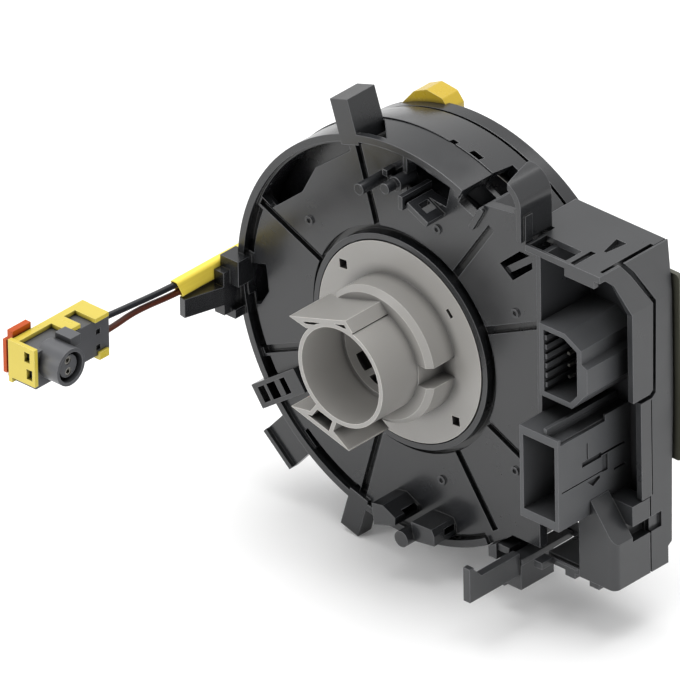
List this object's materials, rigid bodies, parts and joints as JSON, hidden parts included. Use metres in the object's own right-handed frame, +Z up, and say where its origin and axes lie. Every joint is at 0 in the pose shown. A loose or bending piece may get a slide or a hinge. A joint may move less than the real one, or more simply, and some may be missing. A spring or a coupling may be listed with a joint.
{
  "type": "steering clock spring",
  "caption": "Steering column clock spring: moulded stator with plug sockets and mounting tabs, turning hub with cancelling wings, yellow airbag lead with its plug.",
  "frame": {"origin": "centre of the hub's seat ring, on the steering axis", "axes": "+Y along the steering axis toward the steering wheel, +X toward the electronics module, +Z up as the part stands in a car with the wheel straight"},
  "size_m": [0.1424, 0.1128, 0.131],
  "materials": {
    "black_moulding": "satin",
    "grey_moulding": "satin",
    "olive_moulding": "matte",
    "socket_moulding": "matte",
    "board": "satin",
    "ribbon": "satin",
    "slide_film": "matte",
    "yellow_moulding": "satin",
    "yellow_sleeve": "matte",
    "orange_moulding": "satin",
    "plug_moulding": "satin",
    "black_insulation": "satin",
    "brown_insulation": "satin",
    "terminal_metal": "polished"
  },
  "bodies": {
    "stator": {"stator_front_housing": "black_moulding", "stator_rear_ring": "black_moulding", "slide_sheet_front": "slide_film", "flat_cable": "ribbon", "module_frame": "black_moulding", "module_rear_shell": "black_moulding", "module_back_plate": "olive_moulding", "circuit_board": "board", "upper_socket": "socket_moulding", "upper_socket_pins": "terminal_metal", "lower_socket": "socket_moulding", "lower_socket_pins": "terminal_metal", "lead_sleeve": "yellow_sleeve", "black_wire": "black_insulation", "brown_wire": "brown_insulation", "plug_body": "plug_moulding", "plug_contacts": "terminal_metal", "plug_shell": "yellow_moulding"},
    "rotor": {"hub": "grey_moulding", "rotor_plate": "black_moulding", "slide_sheet_rear": "slide_film", "rotor_connector": "yellow_moulding", "rotor_connector_pins": "terminal_metal"},
    "latch": {"column_latch": "black_moulding"},
    "lock": {"plug_lock": "orange_moulding"}
  },
  "joints": [
    {"name": "hub_turn", "type": "hinge", "parent": "stator", "child": "rotor", "pos_m": [0, 0, 0], "axis": [0, 1, 0], "range_deg": [-900, 900]},
    {"name": "latch_flex", "type": "hinge", "parent": "stator", "child": "latch", "pos_m": [0.0412, 0.0176, -0.0491], "axis": [1, 0, 0], "range_deg": [0, 8], "stiffness_Nm_per_rad": 0.6},
    {"name": "lock_slide", "type": "slide", "parent": "stator", "child": "lock", "axis": [-1, 0, 0], "range_m": [0, 0.003]}
  ]
}
